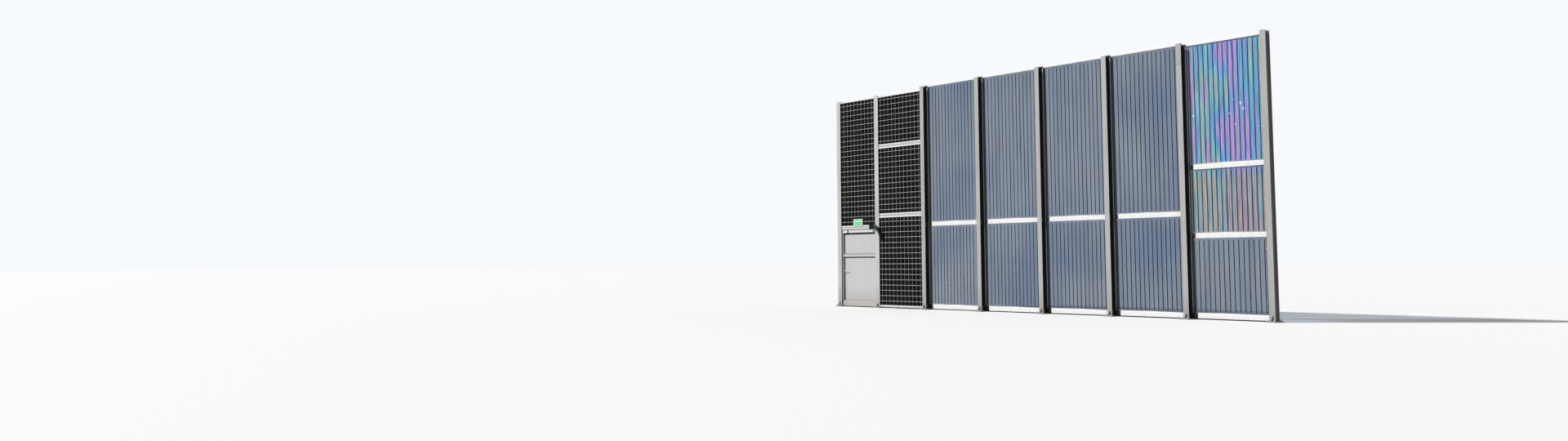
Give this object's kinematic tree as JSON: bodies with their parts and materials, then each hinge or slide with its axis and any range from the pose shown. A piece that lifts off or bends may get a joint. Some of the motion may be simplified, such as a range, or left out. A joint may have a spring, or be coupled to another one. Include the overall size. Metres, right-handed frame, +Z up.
{
  "type": "highway noise barrier",
  "caption": "Run of tall H-posts holding grilled green panels with a door under one, clear sheets with black strips and a sheet with rainbow film, on bolted foot plates.",
  "frame": {"origin": "centre of the underside of post_3's foot plate, the post between the green bay and the first clear bay", "axes": "+X along the wall, to the right as seen from the road; +Y away from the road; +Z up"},
  "size_m": [13.675, 0.36, 6.185],
  "materials": {
    "post_paint": "matt light grey coating",
    "door_post_paint": "matt pale grey coating",
    "panel_frame_metal": "satin",
    "green_net": "dark green net over absorbing board",
    "grille_wire": "galvanised",
    "door_paint": "satin pale grey coating",
    "hinge_steel": "satin",
    "handle_steel": "satin",
    "sign_plate": "mint green with a pale border",
    "clear_acrylic": "clear, faintly smoky",
    "pale_film": "clear with a pale film",
    "rainbow_film": "rainbow film, cyan to violet",
    "black_rubber": "matt",
    "black_strip": "matt",
    "rail_aluminium": "satin"
  },
  "bodies": {
    "wall": {"post_1": "door_post_paint", "post_2": "door_post_paint", "post_3": "post_paint", "post_4": "post_paint", "post_5": "post_paint", "post_6": "post_paint", "post_7": "post_paint", "post_8": "post_paint", "door_panel_frame": "panel_frame_metal", "door_panel_infill": "green_net", "door_panel_front_mesh": "grille_wire", "door_panel_rear_mesh": "grille_wire", "door_frame": "door_paint", "frame_hinges": "hinge_steel", "exit_sign": "sign_plate", "green_frame_low": "panel_frame_metal", "green_frame_mid": "panel_frame_metal", "green_frame_top": "panel_frame_metal", "green_infill": "green_net", "green_front_mesh": "grille_wire", "green_rear_mesh": "grille_wire", "film_sheet_low": "clear_acrylic", "film_sheet_mid": "pale_film", "film_sheet_top": "rainbow_film", "seals": "black_rubber", "clear_1_sheets": "clear_acrylic", "clear_1_gaskets": "black_rubber", "clear_1_strips": "black_strip", "clear_1_rails": "rail_aluminium", "clear_2_sheets": "clear_acrylic", "clear_2_gaskets": "black_rubber", "clear_2_strips": "black_strip", "clear_2_rails": "rail_aluminium", "clear_3_sheets": "clear_acrylic", "clear_3_gaskets": "black_rubber", "clear_3_strips": "black_strip", "clear_3_rails": "rail_aluminium", "clear_4_sheets": "clear_acrylic", "clear_4_gaskets": "black_rubber", "clear_4_strips": "black_strip", "clear_4_rails": "rail_aluminium", "film_gaskets": "black_rubber", "film_strips": "black_strip", "film_rails": "rail_aluminium"},
    "door": {"door_leaf": "door_paint", "leaf_hinges": "hinge_steel", "door_handles": "handle_steel"}
  },
  "joints": [
    {"name": "door_swing", "type": "hinge", "parent": "wall", "child": "door", "pos_m": [-1.913, 0.045, 0], "axis": [0, 0, -1], "range_deg": [0, 100]}
  ]
}
